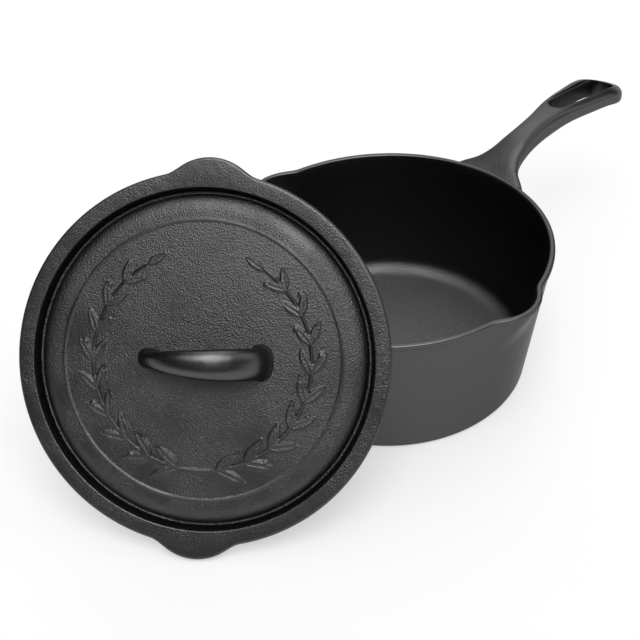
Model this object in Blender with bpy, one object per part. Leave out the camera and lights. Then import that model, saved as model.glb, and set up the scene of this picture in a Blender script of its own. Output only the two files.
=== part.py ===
"""Cast iron camp casserole: a deep pan with a long handle and two pouring spouts, and its lid.

The pan stands on the floor with its handle along +X and its spouts at +Y and -Y.
The lid has been taken off. It stands on one of its ears and leans against the pan's rim.
The origin is the centre of the pan's base, on the floor. Units are metres, +Z is up.
"""

import math

import bmesh
import bpy
from mathutils import Matrix, Vector

# Pan
RIM_RADIUS = 0.1025
POT_HEIGHT = 0.0915
RIM_WIDTH = 0.0035
RIM_DEPTH = 0.0040
RIM_ROUND = 0.0012
LIP_STEP = 0.0013
WALL_DRAFT = math.radians(7.9)
FOOT_WALL = 0.0045
FLOOR_THICKNESS = 0.0050
BASE_EDGE_RADIUS = 0.0040
FLOOR_FILLET = 0.0090

# Pouring spouts: a round bulge of the rim that fades into the wall below
SPOUT_REACH = 0.0072
SPOUT_RADIUS = 0.030
SPOUT_BLEND = 0.0022
SPOUT_DEPTH = 0.034

# Handle, cast on at the rim. Each station: distance beyond the rim, height of its middle
# above the rim's top, half width, half thickness
HANDLE_STATIONS = (
    (0.0015, -0.0094, 0.0300, 0.0074),
    (0.0055, -0.0076, 0.0262, 0.0074),
    (0.0110, -0.0049, 0.0180, 0.0075),
    (0.0190, -0.0012, 0.0126, 0.0077),
    (0.0300, 0.0027, 0.0102, 0.0079),
    (0.0430, 0.0054, 0.0090, 0.0080),
    (0.0580, 0.0075, 0.0094, 0.0079),
    (0.0780, 0.0094, 0.0122, 0.0073),
    (0.1020, 0.0077, 0.0153, 0.0068),
    (0.1285, 0.0039, 0.0175, 0.0070),
)
HANDLE_REACH = 0.1574
HANDLE_END_DROP = 0.0075
HANDLE_END_HALF_THICKNESS = 0.0065
HANDLE_END_ROUNDNESS = 1.5
HANDLE_TIP_EDGE_ROUNDNESS = 5
HANDLE_SECTION_ROUNDNESS = 2.15
ROOT_SINK = 0.0012
ROOT_WRAP = 0.030

# Hang hole near the handle's end: two circles and their common tangents, seen from above
HOLE_NEAR_RADIUS = 0.0063
HOLE_FAR_RADIUS = 0.0084
HOLE_NEAR_LIMB = 0.0725
HOLE_END_LIMB = 0.0146

# Lid
LID_OVERHANG = 0.00035
LID_EDGE_THICKNESS = 0.0055
LID_EDGE_ROUND = 0.0016
EAR_COVER = 0.0004
FLANGE_WIDTH = 0.0088
GROOVE_DEPTH = 0.0086
GROOVE_SLOPE = 0.0019
GROOVE_FLOOR = 0.0014
SKIRT_CLEARANCE = 0.0022
SKIRT_TAPER = 0.0007
SKIRT_DEPTH = 0.0120
SKIRT_ROUND = 0.0014
SKIRT_THICKNESS = 0.0040
DISC_EDGE_ROUND = 0.0070
DISC_CROWN = 0.0035
DISC_THICKNESS = 0.0042

# Bow handle, cast on the lid across the line of the ears
BOW_SPAN = 0.0710
BOW_SHIFT = 0.0023
BOW_SIDE_SHIFT = 0.0007
BOW_TURN = math.radians(0.9)
BOW_HEIGHT = 0.0302
BOW_THICKNESS = 0.0112
BOW_CROWN_WIDTH = 0.0154
BOW_FOOT_WIDTHS = (0.0080, 0.0170)
BOW_ARCH_SQUARENESS = 2.05
BOW_SECTION_SQUARENESS = 2.4
BOW_FLARE = 0.0012
BOW_FLARE_HEIGHT = 0.0040

# Where the lid leans
LEAN_FROM_FLOOR = math.radians(54.5)
LEAN_DIRECTION = math.radians(219.0)
LEAN_SIDEWAYS = 0.0954
EAR_TURN = math.radians(-2.6)
REST_GAP = 0.0003

# Fineness of the meshes
SPOUT_STEPS = 14
SPOUT_FINE_SHARE = 1.45
ROUND_STEPS = 20
ARC_STEPS = 4
WALL_STEPS = 5
DISC_RINGS = 5
HANDLE_STEPS = 24
HANDLE_STEP_CROWDING = 1.25
HANDLE_CAP_STEPS = 6
HANDLE_CAP_ANGLE = math.radians(86)
HANDLE_CROSS_STEPS = 20
BOW_STEPS = 28
BOW_CROSS_STEPS = 14
HOLE_STEPS = 14
SHARP_ANGLE = math.radians(40)
MERGE_DISTANCE = 0.00002

POT_COLOUR = (0.045, 0.045, 0.047, 1.0)
LID_COLOUR = (0.050, 0.050, 0.052, 1.0)
IRON_ROUGHNESS = 0.5
IRON_METALLIC = 0.35


def clear_scene():
    for thing in list(bpy.data.objects):
        bpy.data.objects.remove(thing, do_unlink=True)


def make_material(name, colour):
    material = bpy.data.materials.new(name)
    material.use_nodes = True
    shader = material.node_tree.nodes["Principled BSDF"]
    shader.inputs["Base Color"].default_value = colour
    shader.inputs["Roughness"].default_value = IRON_ROUGHNESS
    shader.inputs["Metallic"].default_value = IRON_METALLIC
    return material


def add_object(name, rings):
    """A closed mesh through rings of points, each ring going round in the same direction."""
    mesh = bmesh.new()
    loops = [[mesh.verts.new(point) for point in ring] for ring in rings]
    for one, two in zip(loops, loops[1:]):
        count = len(one)
        for i in range(count):
            j = (i + 1) % count
            mesh.faces.new((one[i], one[j], two[j], two[i]))
    mesh.faces.new(loops[0])
    mesh.faces.new(loops[-1])
    bmesh.ops.recalc_face_normals(mesh, faces=mesh.faces)
    data = bpy.data.meshes.new(name)
    mesh.to_mesh(data)
    mesh.free()
    thing = bpy.data.objects.new(name, data)
    bpy.context.collection.objects.link(thing)
    return thing


def apply_boolean(thing, other, operation):
    """Joins or cuts a solid with another, and removes the other."""
    modifier = thing.modifiers.new(operation.lower(), "BOOLEAN")
    modifier.operation = operation
    modifier.solver = "EXACT"
    modifier.object = other
    depsgraph = bpy.context.evaluated_depsgraph_get()
    result = bpy.data.meshes.new_from_object(thing.evaluated_get(depsgraph))
    thing.modifiers.remove(modifier)
    thing.data = result
    bpy.data.objects.remove(other, do_unlink=True)


def finish_object(thing, material):
    """Merges the crumbs that a union leaves, splits the faces into triangles, and dresses it."""
    mesh = bmesh.new()
    mesh.from_mesh(thing.data)
    bmesh.ops.remove_doubles(mesh, verts=mesh.verts, dist=MERGE_DISTANCE)
    bmesh.ops.dissolve_degenerate(mesh, edges=mesh.edges, dist=MERGE_DISTANCE)
    bmesh.ops.triangulate(mesh, faces=mesh.faces)
    mesh.to_mesh(thing.data)
    mesh.free()
    thing.data.shade_smooth()
    thing.data.set_sharp_from_angle(angle=SHARP_ANGLE)
    thing.data.materials.clear()
    thing.data.materials.append(material)


def signed_power(value, power):
    return math.copysign(abs(value) ** power, value)


def rounded_end(share, roundness):
    """What is left of a width at a share of the way to a rounded end."""
    return (1 - share ** roundness) ** (1 / roundness)


def arc_points(centre_r, centre_z, radius, start, end):
    """An arc of a turned outline, between two angles in degrees."""
    points = []
    for i in range(ARC_STEPS + 1):
        angle = math.radians(start + (end - start) * i / ARC_STEPS)
        points.append((centre_r + radius * math.cos(angle), centre_z + radius * math.sin(angle)))
    return points


def smooth_maximum(a, b, blend):
    overlap = max(blend - abs(a - b), 0.0) / blend
    return max(a, b) + overlap * overlap * blend / 4


def bulge(angle, radius, reach, round_radius):
    """How far a round bulge stands out of a circle, at an angle from the bulge's middle."""
    centre = radius + reach - round_radius
    across = centre * math.sin(angle)
    if math.cos(angle) <= 0 or abs(across) >= round_radius:
        return 0.0
    arc = centre * math.cos(angle) + math.sqrt(round_radius ** 2 - across ** 2)
    return max(smooth_maximum(radius, arc, SPOUT_BLEND) - radius, 0.0)


def two_bulges(angle, radius, reach, round_radius):
    """The bulges at +Y and -Y together."""
    return max(bulge(angle - math.pi / 2, radius, reach, round_radius),
               bulge(angle - 3 * math.pi / 2, radius, reach, round_radius),
               bulge(angle + math.pi / 2, radius, reach, round_radius))


def ring_angles():
    """Angles round the pan or lid, close together across the two spouts."""
    centre = RIM_RADIUS + SPOUT_REACH - SPOUT_RADIUS
    cosine = (RIM_RADIUS ** 2 + centre ** 2 - SPOUT_RADIUS ** 2) / (2 * RIM_RADIUS * centre)
    half = math.acos(cosine) * SPOUT_FINE_SHARE
    plain = math.pi - 2 * half
    angles = []
    for middle in (math.pi / 2, 3 * math.pi / 2):
        for i in range(SPOUT_STEPS):
            angles.append(middle - half + 2 * half * i / SPOUT_STEPS)
        for i in range(ROUND_STEPS):
            angles.append(middle + half + plain * i / ROUND_STEPS)
    return angles


def wall_outer_radius(z):
    """Radius of the wall's tapered outer face at a height."""
    top = POT_HEIGHT - RIM_DEPTH
    return RIM_RADIUS - LIP_STEP - (top - z) * math.tan(WALL_DRAFT)


def wall_inner_radius(z):
    """Radius of the wall's tapered inner face, from the rim down to the floor."""
    top_radius = RIM_RADIUS - RIM_WIDTH
    floor_radius = wall_outer_radius(FLOOR_THICKNESS) - FOOT_WALL
    share = (POT_HEIGHT - z) / (POT_HEIGHT - FLOOR_THICKNESS)
    return top_radius + (floor_radius - top_radius) * share


def spout_fade(z):
    """1 at the rim, falling smoothly to 0 at the foot of a spout."""
    depth = (POT_HEIGHT - z) / SPOUT_DEPTH
    if depth >= 1:
        return 0.0
    return (1 - depth) ** 2 * (1 + 2 * depth)


def pot_outer_profile():
    """Outline of the pan as (radius, height), from its base up to the rim's outer edge."""
    lift = BASE_EDGE_RADIUS * (1 / math.cos(WALL_DRAFT) - math.tan(WALL_DRAFT))
    centre = wall_outer_radius(0) - lift
    points = arc_points(centre, BASE_EDGE_RADIUS, BASE_EDGE_RADIUS, -90, -math.degrees(WALL_DRAFT))
    top = POT_HEIGHT - RIM_DEPTH
    for i in range(1, WALL_STEPS + 1):
        z = top - SPOUT_DEPTH * (1 - i / WALL_STEPS)
        points.append((wall_outer_radius(z), z))
    points.append((RIM_RADIUS, top + LIP_STEP))
    points += arc_points(RIM_RADIUS - RIM_ROUND, POT_HEIGHT - RIM_ROUND, RIM_ROUND, 0, 90)
    return points


def pot_inner_profile():
    """Outline of the pan as (radius, height), from the rim's inner edge down to its floor."""
    edge = RIM_RADIUS - RIM_WIDTH + RIM_ROUND
    points = arc_points(edge, POT_HEIGHT - RIM_ROUND, RIM_ROUND, 90, 180)
    for i in range(1, WALL_STEPS):
        z = POT_HEIGHT - RIM_DEPTH - SPOUT_DEPTH * i / WALL_STEPS
        points.append((wall_inner_radius(z), z))
    floor_radius = wall_inner_radius(FLOOR_THICKNESS)
    slope = math.atan((RIM_RADIUS - RIM_WIDTH - floor_radius) / (POT_HEIGHT - FLOOR_THICKNESS))
    centre = floor_radius - FLOOR_FILLET * (1 / math.cos(slope) - math.tan(slope))
    points += arc_points(centre, FLOOR_THICKNESS + FLOOR_FILLET, FLOOR_FILLET,
                         -math.degrees(slope), -90)
    return points


def make_pot_body():
    angles = ring_angles()
    rings = []
    for points, inset in ((pot_outer_profile(), 0.0), (pot_inner_profile(), RIM_WIDTH)):
        radius = RIM_RADIUS - inset
        for r, z in points:
            fade = spout_fade(z)
            ring = []
            for angle in angles:
                spout = two_bulges(angle, radius, SPOUT_REACH, SPOUT_RADIUS - inset)
                out = r + spout * fade
                ring.append(Vector((out * math.cos(angle), out * math.sin(angle), z)))
            rings.append(ring)
    return add_object("pot", rings)


def spline(values, at):
    """Cubic curve through (position, value) pairs, read at one position."""
    last = len(values) - 1
    i = 0
    while i < last - 1 and at > values[i + 1][0]:
        i += 1
    x0, y0 = values[i]
    x1, y1 = values[i + 1]
    before = values[max(i - 1, 0)]
    after = values[min(i + 2, last)]
    step = x1 - x0
    t = min(max((at - x0) / step, 0.0), 1.0)
    m0 = (y1 - before[1]) / (x1 - before[0]) * step
    m1 = (after[1] - y0) / (after[0] - x0) * step
    return ((2 * t ** 3 - 3 * t ** 2 + 1) * y0 + (t ** 3 - 2 * t ** 2 + t) * m0
            + (3 * t ** 2 - 2 * t ** 3) * y1 + (t ** 3 - t ** 2) * m1)


def handle_values():
    """The handle's heights, half widths and half thicknesses against distance beyond the rim."""
    end_width = HANDLE_STATIONS[-1][2]
    heights = [(s[0], s[1]) for s in HANDLE_STATIONS] + [(HANDLE_REACH, -HANDLE_END_DROP)]
    widths = [(s[0], s[2]) for s in HANDLE_STATIONS] + [(HANDLE_REACH, end_width)]
    halves = [(s[0], s[3]) for s in HANDLE_STATIONS] + [(HANDLE_REACH, HANDLE_END_HALF_THICKNESS)]
    return heights, widths, halves


def handle_section(width, half):
    """Points round one cross-section, as (across, up) from the section's middle."""
    power = 2 / HANDLE_SECTION_ROUNDNESS
    points = []
    for i in range(HANDLE_CROSS_STEPS):
        angle = 2 * math.pi * i / HANDLE_CROSS_STEPS
        points.append((signed_power(math.cos(angle), power) * width,
                       signed_power(math.sin(angle), power) * half))
    return points


def root_ring(height, width, half):
    """The handle's first section, which lies inside the pan's wall."""
    ring = []
    for across, up in handle_section(width, half):
        z = POT_HEIGHT + height + up
        wall = wall_outer_radius(z) - ROOT_SINK
        ring.append(Vector((math.sqrt(wall ** 2 - across ** 2), across, z)))
    return ring


def handle_ring(distance, height, width, half):
    """One section of the handle. Near the pan it follows the curve of the rim."""
    wrap = max(1 - distance / ROOT_WRAP, 0.0) ** 2
    ring = []
    for across, up in handle_section(width, half):
        curve = RIM_RADIUS - math.sqrt(RIM_RADIUS ** 2 - across ** 2)
        ring.append(Vector((RIM_RADIUS + distance - curve * wrap, across, POT_HEIGHT + height + up)))
    return ring


def make_handle():
    """The long handle, from inside the wall's thickness out to its rounded end."""
    heights, widths, halves = handle_values()
    start = HANDLE_STATIONS[0][0]
    cap_start = HANDLE_STATIONS[-1][0]
    rings = [root_ring(heights[0][1], widths[0][1], halves[0][1])]
    for i in range(HANDLE_STEPS + 1):
        share = (i / HANDLE_STEPS) ** HANDLE_STEP_CROWDING
        distance = start + (cap_start - start) * share
        rings.append(handle_ring(distance, spline(heights, distance), spline(widths, distance),
                                 spline(halves, distance)))
    for i in range(1, HANDLE_CAP_STEPS + 1):
        share = math.sin(HANDLE_CAP_ANGLE * i / HANDLE_CAP_STEPS)
        distance = cap_start + (HANDLE_REACH - cap_start) * share
        width = spline(widths, distance) * rounded_end(share, HANDLE_END_ROUNDNESS)
        half = spline(halves, distance) * rounded_end(share, HANDLE_TIP_EDGE_ROUNDNESS)
        rings.append(handle_ring(distance, spline(heights, distance), width, half))
    return add_object("handle_part", rings)


def make_hole_cutter():
    """A teardrop prism that cuts the hang hole."""
    far = RIM_RADIUS + HANDLE_REACH - HOLE_END_LIMB - HOLE_FAR_RADIUS
    near = RIM_RADIUS + HOLE_NEAR_LIMB + HOLE_NEAR_RADIUS
    lean = math.acos((HOLE_NEAR_RADIUS - HOLE_FAR_RADIUS) / (far - near))
    outline = []
    for i in range(HOLE_STEPS + 1):
        angle = lean + (2 * math.pi - 2 * lean) * i / HOLE_STEPS
        x = near + HOLE_NEAR_RADIUS * math.cos(angle)
        outline.append((x, HOLE_NEAR_RADIUS * math.sin(angle)))
    for i in range(HOLE_STEPS + 1):
        angle = -lean + 2 * lean * i / HOLE_STEPS
        x = far + HOLE_FAR_RADIUS * math.cos(angle)
        outline.append((x, HOLE_FAR_RADIUS * math.sin(angle)))
    past = 2 * max(abs(s[1]) + s[3] for s in HANDLE_STATIONS)
    low = [Vector((x, y, POT_HEIGHT - past)) for x, y in outline]
    high = [Vector((x, y, POT_HEIGHT + past)) for x, y in outline]
    return add_object("hole_cutter", [low, high])


def lid_radius():
    return RIM_RADIUS + LID_OVERHANG


def groove_outer_radius():
    return lid_radius() - FLANGE_WIDTH - GROOVE_SLOPE


def disc_edge_radius():
    """Where the crowned disc starts to round down into the groove."""
    return groove_outer_radius() - GROOVE_FLOOR - DISC_EDGE_ROUND


def disc_height(r):
    """Height of the crowned disc above the lid's flange, at a radius."""
    return DISC_CROWN * (1 - (r / disc_edge_radius()) ** 2)


def lid_top_profile():
    """Outline of the lid's top as (radius, height), from near its middle to the flange."""
    edge = disc_edge_radius()
    points = []
    for i in range(1, DISC_RINGS + 1):
        r = edge * i / DISC_RINGS
        points.append((r, disc_height(r)))
    for i in range(1, ARC_STEPS + 1):
        angle = math.pi / 2 * i / ARC_STEPS
        points.append((edge + DISC_EDGE_ROUND * math.sin(angle),
                       -GROOVE_DEPTH * (1 - math.cos(angle))))
    points.append((groove_outer_radius(), -GROOVE_DEPTH))
    points.append((groove_outer_radius() + GROOVE_SLOPE, 0.0))
    return points


def lid_edge_profile():
    """Outline of the flange's rounded outer edge, top to bottom."""
    middle = lid_radius() - LID_EDGE_ROUND
    points = arc_points(middle, -LID_EDGE_ROUND, LID_EDGE_ROUND, 90, 0)
    points += arc_points(middle, LID_EDGE_ROUND - LID_EDGE_THICKNESS, LID_EDGE_ROUND, 0, -90)
    return points


def lid_under_profile():
    """Outline under the lid: the skirt that drops inside the pan's rim, then the disc's underside."""
    skirt = RIM_RADIUS - RIM_WIDTH - SKIRT_CLEARANCE
    foot = skirt - SKIRT_TAPER
    points = [(skirt, -LID_EDGE_THICKNESS)]
    points += arc_points(foot - SKIRT_ROUND, SKIRT_ROUND - SKIRT_DEPTH, SKIRT_ROUND, 0, -90)
    points.append((skirt - SKIRT_THICKNESS - SKIRT_TAPER, -SKIRT_DEPTH))
    edge = disc_edge_radius()
    for i in range(DISC_RINGS, 0, -1):
        r = edge * i / DISC_RINGS
        points.append((r, disc_height(r) - DISC_THICKNESS))
    return points


def make_lid_plate():
    """The lid without its bow. Only its outer edge follows the two ears that cover the spouts."""
    angles = ring_angles()
    reach = RIM_RADIUS + SPOUT_REACH + EAR_COVER - lid_radius()
    rings = []
    for points, has_ears in ((lid_top_profile(), False), (lid_edge_profile(), True),
                             (lid_under_profile(), False)):
        for r, z in points:
            ring = []
            for angle in angles:
                ear = two_bulges(angle, lid_radius(), reach, SPOUT_RADIUS) if has_ears else 0.0
                out = r + ear
                ring.append(Vector((out * math.cos(angle), out * math.sin(angle), z)))
            rings.append(ring)
    return add_object("lid", rings)


def bow_ring(angle):
    """One cross-section of the bow, at an angle along its arch from the wide foot to the narrow."""
    power = 2 / BOW_ARCH_SQUARENESS
    half_span = (BOW_SPAN - BOW_THICKNESS) / 2
    rise = BOW_HEIGHT - BOW_THICKNESS / 2
    c = math.cos(angle)
    s = math.sin(angle)
    along = signed_power(c, power) * half_span
    up = abs(s) ** power * rise
    normal = Vector((signed_power(c, 2 - power) / half_span, 0, abs(s) ** (2 - power) / rise))
    normal.normalize()
    narrow, wide = BOW_FOOT_WIDTHS
    lean = (wide - narrow) / 2 * c
    width = BOW_CROWN_WIDTH + lean + ((wide + narrow) / 2 - BOW_CROWN_WIDTH) * c * c
    above = max(up - disc_height(BOW_SPAN / 2), 0.0) / BOW_FLARE_HEIGHT
    flare = BOW_FLARE * max(1 - above, 0.0) ** 2
    section = 2 / BOW_SECTION_SQUARENESS
    ring = []
    for i in range(BOW_CROSS_STEPS):
        turn = 2 * math.pi * i / BOW_CROSS_STEPS
        out = signed_power(math.cos(turn), section) * (BOW_THICKNESS / 2 + flare)
        side = signed_power(math.sin(turn), section) * (width / 2 + flare)
        ring.append(Vector((along + normal.x * out, side, up + normal.z * out)))
    return ring


def make_bow():
    """The arch that the lid is lifted by. Its feet end inside the plate."""
    place = Matrix.Translation((BOW_SHIFT, BOW_SIDE_SHIFT, 0)) @ Matrix.Rotation(BOW_TURN, 4, "Z")
    rings = []
    for i in range(1, BOW_STEPS):
        angle = math.pi / 2 * (1 - math.cos(math.pi * i / BOW_STEPS))
        rings.append([place @ point for point in bow_ring(angle)])
    return add_object("bow_part", rings)


def leaning_pose():
    """Places the lid, ear on the floor and skirt against the rim, a hair's breadth clear of it."""
    tilt = math.pi / 2 - LEAN_FROM_FLOOR
    level = Vector((math.cos(LEAN_DIRECTION), math.sin(LEAN_DIRECTION), 0))
    normal = level * math.cos(tilt) + Vector((0, 0, math.sin(tilt)))
    sideways = Vector((0, 0, 1)).cross(normal).normalized()
    up_slope = normal.cross(sideways)
    rim_support = ((RIM_RADIUS - RIM_ROUND) * math.cos(tilt)
                   + (POT_HEIGHT - RIM_ROUND) * math.sin(tilt) + RIM_ROUND)
    out = rim_support + REST_GAP + SKIRT_DEPTH
    ear = RIM_RADIUS + SPOUT_REACH + EAR_COVER
    height = ((ear - LID_EDGE_ROUND) * math.cos(tilt)
              + (LID_EDGE_THICKNESS - LID_EDGE_ROUND) * math.sin(tilt) + LID_EDGE_ROUND)
    along_level = (out - height * math.sin(tilt)) / math.cos(tilt)
    centre = level * along_level - sideways * LEAN_SIDEWAYS + Vector((0, 0, height))
    axes = Matrix((sideways, up_slope, normal)).transposed().to_4x4()
    return Matrix.Translation(centre) @ axes @ Matrix.Rotation(EAR_TURN, 4, "Z")


def make_pot():
    handle = make_handle()
    apply_boolean(handle, make_hole_cutter(), "DIFFERENCE")
    pot = make_pot_body()
    apply_boolean(pot, handle, "UNION")
    finish_object(pot, make_material("pot_iron", POT_COLOUR))


def make_lid():
    lid = make_lid_plate()
    apply_boolean(lid, make_bow(), "UNION")
    finish_object(lid, make_material("lid_iron", LID_COLOUR))
    lid.matrix_world = leaning_pose()


clear_scene()
make_pot()
make_lid()
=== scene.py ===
"""The looks of the cast iron camp casserole: its two castings with their fine surface.

Units are metres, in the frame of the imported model. The pan stands on its base at the origin,
with its handle along +X and its spouts at +Y and -Y, and the lid leans against the rim.
"""

import math

import bmesh
import bpy
import numpy as np
from mathutils import Matrix, Vector


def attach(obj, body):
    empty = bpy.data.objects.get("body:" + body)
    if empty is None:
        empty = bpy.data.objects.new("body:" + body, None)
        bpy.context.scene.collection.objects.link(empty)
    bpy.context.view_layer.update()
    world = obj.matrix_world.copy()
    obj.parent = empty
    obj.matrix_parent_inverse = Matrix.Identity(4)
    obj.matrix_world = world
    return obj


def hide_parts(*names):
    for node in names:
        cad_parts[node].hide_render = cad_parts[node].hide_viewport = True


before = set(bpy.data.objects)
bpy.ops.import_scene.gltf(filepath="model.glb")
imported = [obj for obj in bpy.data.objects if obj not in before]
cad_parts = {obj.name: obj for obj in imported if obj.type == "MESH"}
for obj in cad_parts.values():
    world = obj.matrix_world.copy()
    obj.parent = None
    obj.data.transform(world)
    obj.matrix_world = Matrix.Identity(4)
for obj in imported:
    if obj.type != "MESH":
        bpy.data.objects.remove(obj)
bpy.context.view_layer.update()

# Pan
RIM_RADIUS = 0.1025
POT_HEIGHT = 0.0915
RIM_WIDTH = 0.0035
RIM_DEPTH = 0.0040
RIM_ROUND = 0.0012
LIP_STEP = 0.0013
WALL_DRAFT = math.radians(7.9)
FOOT_WALL = 0.0045
FLOOR_THICKNESS = 0.0050
BASE_EDGE_RADIUS = 0.0040
FLOOR_FILLET = 0.0090

# Pouring spouts: a round bulge of the rim that fades into the wall below
SPOUT_REACH = 0.0072
SPOUT_RADIUS = 0.028
SPOUT_BLEND = 0.0035
SPOUT_DEPTH = 0.034

# Handle. Each station: distance beyond the rim, height of its middle above the rim's top,
# half width, half thickness
HANDLE_STATIONS = (
    (0.0015, -0.0103, 0.0300, 0.0073),
    (0.0055, -0.0082, 0.0262, 0.0073),
    (0.0110, -0.0050, 0.0178, 0.0074),
    (0.0190, -0.0012, 0.0124, 0.0075),
    (0.0300, 0.0027, 0.0100, 0.0076),
    (0.0430, 0.0054, 0.0088, 0.0077),
    (0.0580, 0.0075, 0.0092, 0.0076),
    (0.0780, 0.0094, 0.0120, 0.0070),
    (0.1020, 0.0077, 0.0151, 0.0066),
    (0.1285, 0.0039, 0.0174, 0.0068),
)
# A tenth of a millimetre short of the solid, so that the finer mesh stays inside its box
HANDLE_REACH = 0.1573
HANDLE_END_DROP = 0.0075
HANDLE_END_HALF_THICKNESS = 0.0065
HANDLE_END_ROUNDNESS = 1.5
HANDLE_TIP_EDGE_ROUNDNESS = 5
HANDLE_SECTION_ROUNDNESS = 3.1
ROOT_SINK = 0.0012
ROOT_WRAP = 0.030
ROOT_FILLET = 0.0075
ROOT_FILLET_START = -0.0035
# The share of the fillet nearest the wall that is left out, where it would turn upright
ROOT_FILLET_CUT = 0.02

# Hang hole: two circles and their common tangents, seen from above, with a rounded edge. The
# draft makes it narrower at the handle's underside
HOLE_NEAR_RADIUS = 0.0063
HOLE_FAR_RADIUS = 0.0084
HOLE_NEAR_LIMB = 0.0725
HOLE_END_LIMB = 0.0146
HOLE_EDGE_ROUND = 0.0009
HOLE_EDGE_ANGLE = math.radians(74)
HOLE_EDGE_RUN = 0.0014
HOLE_DRAFT = 0.0010
HOLE_CUT_PAST = 0.030

# Lid
LID_OVERHANG = 0.00035
LID_EDGE_THICKNESS = 0.0055
LID_EDGE_ROUND = 0.0016
EAR_COVER = 0.0004
FLANGE_WIDTH = 0.0088
FLANGE_EDGE_ROUND = 0.0009
GROOVE_DEPTH = 0.0072
GROOVE_SLOPE = 0.0019
GROOVE_FLOOR = 0.0014
GROOVE_CORNER_ROUND = 0.0012
SKIRT_CLEARANCE = 0.0022
SKIRT_TAPER = 0.0007
SKIRT_DEPTH = 0.0120
SKIRT_ROUND = 0.0014
SKIRT_THICKNESS = 0.0040
DISC_EDGE_ROUND = 0.0110
DISC_CROWN = 0.0035
DISC_THICKNESS = 0.0042

# Bow handle
BOW_SPAN = 0.0710
BOW_SHIFT = 0.0023
BOW_SIDE_SHIFT = 0.0007
BOW_TURN = math.radians(0.9)
BOW_HEIGHT = 0.0302
BOW_THICKNESS = 0.0112
BOW_CROWN_WIDTH = 0.0154
BOW_FOOT_WIDTHS = (0.0080, 0.0170)
BOW_ARCH_SQUARENESS = 2.05
BOW_SECTION_SQUARENESS = 2.4
BOW_FLARE = 0.0018
BOW_FLARE_HEIGHT = 0.0060

# Where the lid leans
LEAN_FROM_FLOOR = math.radians(54.5)
LEAN_DIRECTION = math.radians(219.0)
LEAN_SIDEWAYS = 0.0954
EAR_TURN = math.radians(-2.6)
REST_GAP = 0.0003
# The lid is drawn this much smaller, so that its finer mesh stays inside the solids' box
LID_FIT = 0.999

# Wreath on the lid: two leafy branches that rise from the bottom of the disc
WREATH_RADIUS = 0.0600
WREATH_START = math.radians(10)
WREATH_END = math.radians(148)
LEAF_PAIRS = 9
LEAF_LENGTH = 0.0175
LEAF_HALF_WIDTH = 0.0034
LEAF_TIP_HALF_WIDTH = 0.000001
# Below 1, a leaf is widest before its middle
LEAF_WIDTH_POWER = 0.8
LEAF_TAPER = 0.72
LEAF_SPREAD = math.radians(31)
LEAF_HEIGHT = 0.0011
LEAF_EDGE = 0.35
MIDRIB_HALF_WIDTH = 0.00045
MIDRIB_DEPTH = 0.35
STEM_HALF_WIDTH = 0.0011
STEM_HEIGHT = 0.0010
STEM_TAPER = 0.5
BERRY_RADIUS = 0.0017
BERRY_HEIGHT = 0.0012
# Share of the way from one pair of leaves to the next, and distance from the stem
BERRY_PLACE = 0.62
BERRY_OFFSET = 0.0052
BORDER_RADIUS = 0.0765
BORDER_HALF_WIDTH = 0.0008
BORDER_HEIGHT = 0.0006

# Fineness of the meshes
PAN_ANGLES = 480
LID_ANGLES = 720
ARC_STEP = math.radians(10)
RUN_STEP = 0.0022
FINE_START = 0.0440
FINE_END = 0.0785
FINE_STEP = 0.00052
HANDLE_STEPS = 96
HANDLE_CAP_STEPS = 22
HANDLE_CAP_ANGLE = math.radians(88.5)
HANDLE_STEP_CROWDING = 1.25
HANDLE_CROSS_STEPS = 64
BOW_STEPS = 84
BOW_CROSS_STEPS = 56
HOLE_STEPS = 40
HOLE_EDGE_STEPS = 6
MERGE_DISTANCE = 0.00002
SHARP_ANGLE = math.radians(45)

# Iron. Grain is the sand mould's mark: 0 on smooth parts, 1 on the roughest
SATIN_COLOUR = (0.095, 0.095, 0.097, 1)
GRAIN_COLOUR = (0.085, 0.085, 0.087, 1)
# Painted shade: the darker colour given to the pan's inside wall and its hang hole
INSIDE_PAINTED_SHADE_COLOUR = (0.045, 0.045, 0.046, 1)
FLOOR_COLOUR = (0.15, 0.15, 0.154, 1)
GRAZING_TINT = (0.55, 0.55, 0.55, 1)
SATIN_ROUGHNESS = 0.33
GRAIN_ROUGHNESS = 0.38
INSIDE_ROUGHNESS = 0.42
FLOOR_ROUGHNESS = 0.58
GRAIN_SIZE = 0.00085
GRAIN_HEIGHT = 0.00060
GRAIN_DETAIL = 2.0
# Patches where the grain is fainter. The noise between low and high sets how faint
PATCH_SIZE = 0.030
PATCH_DETAIL = 1.0
PATCH_NOISE_LOW = 0.35
PATCH_NOISE_HIGH = 0.65
PATCH_FAINTEST = 0.45
# The slow unevenness of the cast skin, everywhere
SKIN_SIZE = 0.0045
SKIN_DETAIL = 0.0
SKIN_HEIGHT = 0.00012
# The disc's grain turns into the bow's between these heights above the disc
BOW_GRAIN_START = 0.0015
BOW_GRAIN_END = 0.0045
BOW_GRAIN = 0.05
FLANGE_GRAIN = 0.6
WALL_GRAIN = 0.07
INSIDE_WALL_GRAIN = 0.25
FLOOR_GRAIN = 1.0
# The root's grain turns into the handle's between these distances beyond the rim
ROOT_GRAIN = 0.70
ROOT_GRAIN_START = 0.010
ROOT_GRAIN_END = 0.050
HANDLE_GRAIN = 0.15

# Where the pan's zones begin and end
HANDLE_START = 0.0005
FLOOR_ZONE_DEPTH = 0.001
FLOOR_FILLET_SHARE = 0.4
# The painted shade on the inside wall fades out between these depths below the rim's top
INSIDE_FADE_START = 0.0025
INSIDE_FADE_END = 0.0005
# The hang hole's painted shade fades out between these distances beyond the hole's outline
HOLE_SHADE_START = 0.0001
HOLE_SHADE_END = 0.0005

# Studio
GROUND_REACH = 60.0
GROUND_WHITE = 0.85
GROUND_GLOW = 0.5
ROOM_LIGHT = 0.04
# The backdrop is white up to its top and has faded to the room's light at its end, in degrees
BACKDROP_TOP = 2
BACKDROP_END = 6

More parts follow.
